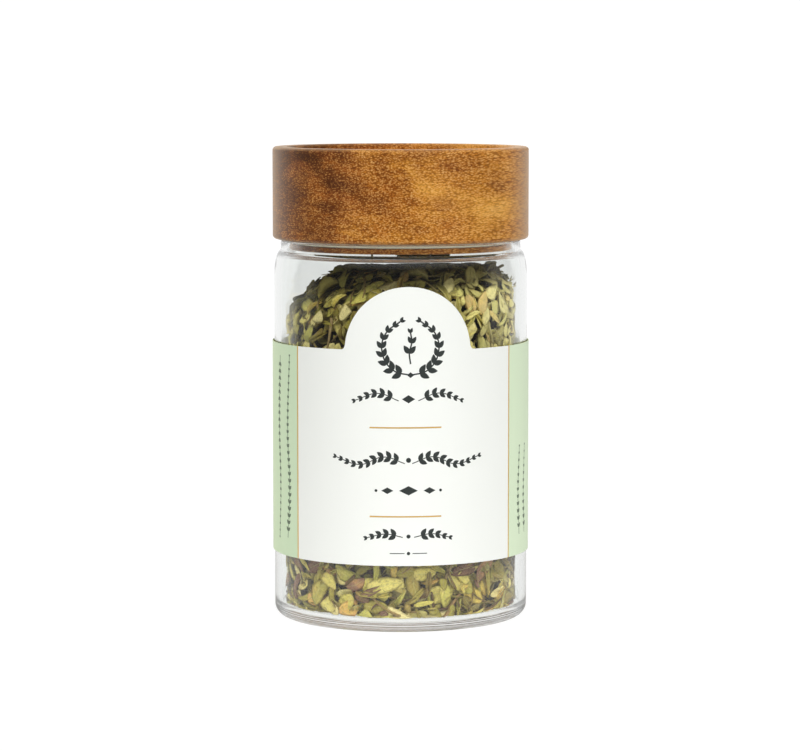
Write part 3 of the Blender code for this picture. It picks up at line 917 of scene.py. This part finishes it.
def strewnTree():
    sizes = (
        "Spacing", "Lean", "Depth", "Smallest", "Largest", "Glass Radius", "Squeeze", "Corner", "Floor", "Ceiling")
    tree, sheet, given = newTree("strewnLeaves", {
        "Skin": "Geometry", "Leaves": "Collection", "Kinds": "Int", "Seed": "Int",
        **dict.fromkeys(sizes, "Float"), "Finish": "Material"}, "Strewn")
    kinds = sheet.add("GeometryNodeCollectionInfo", None, {
        "Collection": given["Leaves"], "Separate Children": True, "Reset Children": True})

    def chance(low, high, seed, kind="FLOAT"):
        values = {"Min": low, "Max": high, "Seed": seed}
        return sheet.add("FunctionNodeRandomValue", {"data_type": kind}, values, "Value")

    def tipped(leaves, rotation):
        return sheet.add("GeometryNodeRotateInstances", None, {
            "Instances": leaves, "Rotation": rotation, "Local Space": True})

    layers = []
    for layer in range(heap["layers"]):
        seed = given["Seed"] + 20 * layer
        strewn = sheet.add("GeometryNodeDistributePointsOnFaces", {"distribute_method": "POISSON"}, {
            "Mesh": given["Skin"], "Distance Min": given["Spacing"], "Density Max": heap["densest"],
            "Seed": seed}, "Points")
        top, bottom = given["Depth"] * (layer / heap["layers"]), given["Depth"] * ((layer + 1) / heap["layers"])
        sink = chance(top, bottom, seed + 1)
        inward = sheet.add("ShaderNodeVectorMath", {"operation": "SCALE"}, {0: strewn["Normal"], "Scale": sink * -1.0})
        points = sheet.add("GeometryNodeSetPosition", None, {"Geometry": strewn, "Offset": inward})
        size = chance(given["Smallest"], given["Largest"], seed + 2)
        leaves = sheet.add("GeometryNodeInstanceOnPoints", None, {
            "Points": points, "Instance": kinds, "Pick Instance": True, "Rotation": strewn["Rotation"],
            "Instance Index": chance(0, given["Kinds"] - 1, seed + 3, "INT"), "Scale": size})
        leaves = tipped(leaves, sheet.vector(0.0, 0.0, chance(0.0, math.tau, seed + 4)))
        tips = []
        for extra in (5, 6):
            lot = chance(-1.0, 1.0, seed + extra)
            tips.append(lot * abs(lot) * given["Lean"] * (0.5 + 0.35 * layer))
        leaves = tipped(leaves, sheet.vector(*tips))
        # how deep each leaf lies, which its painted shade follows
        shadow = (layer + chance(0.0, 1.0, seed + 9)) / heap["layers"]
        marks = {"tint": chance(0.0, 1.0, seed + 7), "press": chance(0.0, 1.0, seed + 8), "deep": shadow}
        for name, value in marks.items():
            leaves = sheet.add("GeometryNodeStoreNamedAttribute", {"data_type": "FLOAT", "domain": "INSTANCE"}, {
                "Geometry": leaves, "Name": name, "Value": value})
        layers.append(leaves)
    joined = sheet.add("GeometryNodeJoinGeometry", None, {"Geometry": layers})
    real = sheet.add("GeometryNodeRealizeInstances", None, {"Geometry": joined})

    # the glass, the floor and the plug press what would stick into them flat, each leaf a little differently
    press = sheet.add("GeometryNodeInputNamedAttribute", {"data_type": "FLOAT"}, {"Name": "press"}, "Attribute")
    soft = given["Squeeze"]

    def pressed(value, limit):
        start = limit - soft
        over = sheet.highest(value - start, 0.0)
        power = over / soft * -1.0
        return sheet.lowest(value, start) + soft * (1.0 - power.maths("EXPONENT", power))

    spot = sheet.parts(sheet.add("GeometryNodeInputPosition"))
    flatPlace = sheet.vector(spot["X"], spot["Y"])
    reach = sheet.add("ShaderNodeVectorMath", {"operation": "LENGTH"}, {0: flatPlace}, "Value")
    within = pressed(reach, given["Glass Radius"] - press * heap["bedding"])
    shrink = within / sheet.highest(reach, 1e-6)
    corner = given["Corner"]
    past = sheet.highest(within - (given["Glass Radius"] - corner), 0.0)
    drop = sheet.highest(corner * corner - past * past, 0.0)
    ground = given["Floor"] + corner - drop.maths("SQRT", drop) + press * heap["bedding"] * 0.6
    lifted = -1.0 * pressed(spot["Z"] * -1.0, ground * -1.0)
    settled = pressed(lifted, given["Ceiling"] - press * heap["plugBedding"])
    place = sheet.vector(spot["X"] * shrink, spot["Y"] * shrink, settled)
    placed = sheet.add("GeometryNodeSetPosition", None, {"Geometry": real, "Position": place})
    smooth = sheet.add("GeometryNodeSetShadeSmooth", None, {"Geometry": placed})
    done = sheet.add("GeometryNodeSetMaterial", None, {"Geometry": smooth, "Material": given["Finish"]})
    sheet.add("NodeGroupOutput", None, {"Strewn": done})
    return tree


leafLook = dict(
    tones=[
        (0.00, shade(114, 84, 62)), (0.04, shade(142, 104, 86)), (0.08, shade(150, 134, 66)),
        (0.22, shade(186, 174, 78)), (0.36, shade(204, 200, 102)), (0.50, shade(232, 216, 110)),
        (0.62, shade(252, 236, 142)), (0.74, shade(252, 236, 166)), (0.80, shade(182, 176, 92)),
        (0.89, shade(248, 214, 106)), (0.94, shade(232, 180, 110)), (0.98, shade(152, 112, 96)),
        (1.00, shade(120, 88, 72)),
    ],
    mottleScale=900.0, patchScale=330.0, crumbleScale=2300.0, topBand=(58.0 * mm, 10.0 * mm),
    sunlitMiddle=-27.0 * mm, sunlitReach=12.0 * mm, dustyBand=(-27.0 * mm, 5.0 * mm),
    ruddy=shade(206, 150, 116), rib=shade(226, 220, 150), crease=shade(116, 104, 46), crumble=shade(112, 96, 46),
    edge=shade(110, 84, 52), mottle=shade(120, 104, 50), stalk=shade(104, 74, 56), paleStalk=shade(150, 122, 84),
    # these paint light and shade on the heap: light on the crown's right and on its left edge, shade on its left, on
    # leaves lying deeper, and under the lid
    fresh=shade(252, 242, 166), sunlit=shade(236, 232, 120), dusty=shade(72, 62, 26), deep=shade(62, 46, 20),
    shadow=shade(44, 40, 20), shadowHeight=83.2 * mm, shadowReach=2.4 * mm, shadowMiddle=5.5 * mm,
    shadowFlat=14.5 * mm, shadowDroop=19.0, shadowTilt=0.07,
)


def leafFinish():
    finish, sheet, place = newFinish("driedLeaf")
    part = sheet.parts(sheet.add("ShaderNodeAttribute", {"attribute_name": "blade"}, out="Vector"))
    tint, deep = (sheet.add("ShaderNodeAttribute", {"attribute_name": name}, out="Fac") for name in ("tint", "deep"))
    mottle = sheet.speckle(place, leafLook["mottleScale"], 3.0)
    patch = sheet.speckle(place, leafLook["patchScale"], 2.0)
    crumble = sheet.speckle(place, leafLook["crumbleScale"], 2.0)
    spot = sheet.parts(place)
    high = spot["Z"].past(*leafLook["topBand"])
    greener = tint + (patch - 0.5) * 0.10 + (0.5 - tint) * high * 0.12  # fewer brown leaves at the top
    outwards = abs(part["X"])
    rib = (1.0 - outwards * 9.0).clamped()
    wave = (part["Y"] * 7.0 - outwards * 1.6) * math.tau
    ripple = wave.maths("SINE", wave)
    # the darker crease lines are partly the leaf's own pattern, partly painted shade in its creases
    veins, creases = (ripple - 0.72).clamped() * 2.4, (-0.55 - ripple).clamped() * 2.2
    edge = ((outwards - 0.72) * 3.0).clamped()
    tipBrown = ((abs(part["Y"] - 0.5) - 0.36) * 5.0).clamped()
    stalk = (1.0 - abs(part["Z"] - 1.0)).clamped()
    # painted light: the crown grows lighter towards the right
    fresh = high * (spot["X"] * 42.0 + (patch - 0.5) * 0.5).clamped()
    sunlit = high * (0.6 - abs(spot["X"] - leafLook["sunlitMiddle"]) / leafLook["sunlitReach"]).clamped()
    # painted shade: the crown darkens towards the left
    dusty = high * (0.10 - spot["X"] * 12.0 + (patch - 0.5) * 0.8).clamped()
    sideways = sheet.highest(abs(spot["X"] - leafLook["shadowMiddle"]) - leafLook["shadowFlat"], 0.0)
    rise = spot["Z"] + sideways * sideways * leafLook["shadowDroop"]  # the lid shades the top of the heap
    rise = rise - sheet.highest(spot["X"], 0.0) * leafLook["shadowTilt"]
    shaded = (rise - leafLook["shadowHeight"]) / leafLook["shadowReach"] + 0.5 + (deep - 0.4) * 0.8
    colour = sheet.layered(sheet.ramp(leafLook["tones"], greener.clamped()), [
        (((patch - 0.5) * 5.0).clamped() * (1.0 - high) * 0.2, leafLook["ruddy"]),
        (rib * 0.4 + veins * 0.15, leafLook["rib"]),
        # crease lines: the leaf's pattern and painted shade
        (creases * 0.14, leafLook["crease"]),
        (((crumble - 0.52) * 6.0).clamped() * 0.3, leafLook["crumble"]),
        ((edge * 0.5 + tipBrown * 0.6) * (mottle * 1.3 - 0.25).clamped(), leafLook["edge"]),
        (((mottle - 0.54) * 5.0).clamped() * 0.5, leafLook["mottle"]),
        (stalk * 0.8, sheet.mixed(tint, leafLook["stalk"], leafLook["paleStalk"])),
        # painted light on the right of the crown
        (fresh * 0.5, leafLook["fresh"]),
        (sunlit * 0.5, leafLook["sunlit"]),
        # painted shade on the crown's left, fading out at its far left edge
        (dusty * spot["X"].past(*leafLook["dustyBand"]) * 0.5, leafLook["dusty"]),
        # painted shade on leaves lying deeper, less where the crown is painted lit on the right
        (((deep - 0.28) * 1.4).clamped() * (0.52 + high * 0.1 - fresh * 0.6), leafLook["deep"]),
        (shaded.clamped() * 0.8, leafLook["shadow"]),
    ])
    height = mottle * 0.6 - rib * 0.5 - veins * 0.3 + crumble * 0.3
    shown(sheet, sheet.surfaced(colour, 0.58 + mottle * 0.22, (height, 0.8, 0.2 * mm), {"Specular IOR Level": 0.04}))
    return finish


# the core's dark tones are partly dark leaf crumbs, partly painted shade deep in the heap
coreLook = dict(
    tones=[(0.25, shade(34, 27, 16)), (0.5, shade(58, 49, 28)), (0.75, shade(86, 76, 42))],
    scrap=shade(34, 28, 18), scrapScale=620.0, mottleScale=500.0,
)


def coreFinish():
    finish, sheet, place = newFinish("leafMass")
    scrap = sheet.add("ShaderNodeTexVoronoi", None, {"Vector": place, "Scale": coreLook["scrapScale"]}, "Distance")
    mottle = sheet.speckle(place, coreLook["mottleScale"], 3.0)
    colour = sheet.mixed(scrap.clamped() * 0.5, sheet.ramp(coreLook["tones"], mottle), coreLook["scrap"])
    shown(sheet, sheet.surfaced(colour, 0.75 + mottle * 0.2, (scrap + mottle, 0.8, 0.5 * mm)))
    return finish


zones = {
    "thymeFoot": dict(zone="foot", spacing=2.8 * mm, seed=6, lean=math.radians(44), depth=3.4 * mm, sizes=(0.5, 1.2)),
    "thymeWall": dict(zone="wall", spacing=4.8 * mm, seed=5, lean=math.radians(46), depth=3.0 * mm, sizes=(0.7, 1.1)),
    "thymeCrown": dict(
        zone="crown", spacing=3.0 * mm, seed=8, lean=math.radians(42), depth=3.4 * mm, sizes=(0.45, 1.0)),
}


def driedThyme():
    skin = heapSkin("thymeCore", "all", heap["coreInset"], roughen=heap["coreRough"])
    skin.shade_smooth()
    stands(putDown("thymeCore", skin, coreFinish()), "dried_thyme")
    tree, leaves, finish = strewnTree(), leafCollection(), leafFinish()
    for name, wish in zones.items():
        host = putDown(name, heapSkin(name + "Skin", wish["zone"], heap["skinInset"]))
        piece = asPlainMesh(name, host, tree, {
            "Leaves": leaves, "Kinds": len(leaves.objects), "Spacing": wish["spacing"], "Seed": wish["seed"],
            "Lean": wish["lean"], "Depth": wish["depth"], "Smallest": wish["sizes"][0], "Largest": wish["sizes"][1],
            "Glass Radius": heap["radius"], "Squeeze": heap["squeeze"], "Corner": heap["corner"],
            "Floor": heap["bottom"], "Ceiling": heap["ceiling"], "Finish": finish,
        })
        stands(piece, "dried_thyme")
        print(name, len(piece.data.polygons), "faces")
    for leaf in list(leaves.objects):
        bpy.data.objects.remove(leaf)
    bpy.data.collections.remove(leaves)


driedThyme()
print("thyme strewn")


# studio: a small pale floor, and soft light

studio = dict(
    floorRadius=0.21, floorSides=96, floorRings=6, floorDrop=0.1 * mm, floorColour=(0.40, 0.402, 0.40, 1.0),
    floorTooth=400.0, floorGlow=0.50, floorWhite=0.85, floorThrough=0.85, backdrop=1.06,
    soft=0.17, through=0.85, throughFront=0.20, glossFront=0.02, glossBack=1.0, bounces=160,
    panelStart=0.357, panelTilt=0.07,
    lamps={
        "highRight": dict(place=(0.42, -0.48, 0.70), aim=0.05, size=(0.60, 0.42), watts=4.65, colour=white[:3]),
        "highLeft": dict(place=(-0.54, -0.44, 0.56), aim=0.05, size=(0.40, 0.42), watts=3.0, colour=white[:3]),
        "lowLeft": dict(place=(-0.62, -0.62, 0.20), aim=0.05, size=(0.40, 0.40), watts=0.75, colour=white[:3]),
        "lowRight": dict(place=(0.58, -0.66, 0.20), aim=0.05, size=(0.40, 0.40), watts=1.6, colour=white[:3]),
        "edgeLeft": dict(place=(-0.40, 0.66, 0.24), aim=0.10, size=(0.46, 0.50), watts=2.8, colour=(1.0, 0.84, 0.66)),
    },
)


def paleFloor():
    finish, sheet, place = newFinish("paleFloor")
    tooth = sheet.speckle(place, studio["floorTooth"], 2.0)
    path = sheet.add("ShaderNodeLightPath")  # the studio's white sweep washes the floor out
    lit = sheet.surfaced(studio["floorColour"], 0.8 + tooth * 0.1, (tooth, 0.05, 0.2 * mm), {
        "Emission Color": white, "Emission Strength": studio["floorGlow"] * (1.0 - path["Is Glossy Ray"] * 0.5),
        "Specular IOR Level": 0.1,
    })
    glow = sheet.add("ShaderNodeEmission", None, {"Color": white, "Strength": studio["backdrop"]})
    seen = sheet.highest(path["Is Camera Ray"], path["Is Transmission Ray"] * studio["floorThrough"])
    shown(sheet, sheet.add("ShaderNodeMixShader", None, {0: seen * studio["floorWhite"], 1: lit, 2: glow}))
    sides, count = studio["floorSides"], studio["floorRings"]
    shape = bmesh.new()
    rings = []
    for step in range(1, count + 1):
        spots = [around(studio["floorRadius"] * step / count, math.tau * side / sides, -studio["floorDrop"])
                 for side in range(sides)]
        rings.append([shape.verts.new(spot) for spot in spots])
    skinned(shape, rings, rings[:1])
    for face in shape.faces:
        if face.normal.z < 0:
            face.normal_flip()
    mesh = asMesh(shape, "paleFloor")
    putDown("paleFloor", mesh, finish)


def softLight():
    scene = bpy.context.scene
    world = bpy.data.worlds.new("softRoom")
    scene.world = world
    world.use_nodes = True
    world.node_tree.nodes.clear()
    sheet = Sheet(world.node_tree)
    way = sheet.parts(sheet.add("ShaderNodeTexCoord", out="Generated"))
    path = sheet.add("ShaderNodeLightPath")
    panels = way["Y"] - way["X"] * studio["panelTilt"] - studio["panelStart"]
    behind = (panels * 8.0).clamped()  # a dark room in front, pale panels behind
    above = ((way["Z"] - 0.25) * 4.0).clamped()
    beyond = (sheet.highest(way["Y"], abs(way["Z"]) - 0.35) * 4.0 + 0.6).clamped()
    strength = studio["soft"]
    for ray, glow in (
        ("Is Glossy Ray", studio["glossFront"] + sheet.highest(behind, above * 0.45) * studio["glossBack"]),
        ("Is Transmission Ray", studio["throughFront"] + beyond * (studio["through"] - studio["throughFront"])),
        ("Is Camera Ray", studio["backdrop"]),
    ):
        strength = strength + path[ray] * (glow - strength)
    light = sheet.add("ShaderNodeBackground", None, {"Strength": strength, "Color": white})
    sheet.add("ShaderNodeOutputWorld", None, {"Surface": light})
    for name, wish in studio["lamps"].items():
        data = bpy.data.lights.new(name, "AREA")
        data.shape = "RECTANGLE"
        data.size, data.size_y = wish["size"]
        data.energy = wish["watts"]
        data.color = wish["colour"]
        lamp = bpy.data.objects.new(name, data)
        lamp.location = wish["place"]
        towards = Vector((0, 0, wish["aim"])) - lamp.location
        lamp.rotation_euler = towards.to_track_quat("-Z", "Y").to_euler()
        for ray in ("camera", "glossy", "transmission"):
            setattr(lamp, "visible_" + ray, False)
        scene.collection.objects.link(lamp)
    scene.view_settings.view_transform = "Standard"
    for limit in ("max_bounces", "glossy_bounces", "transmission_bounces"):
        setattr(scene.cycles, limit, studio["bounces"])  # light is led a long way inside the glass wall


paleFloor()
softLight()
print("studio lit")


print("scene built")
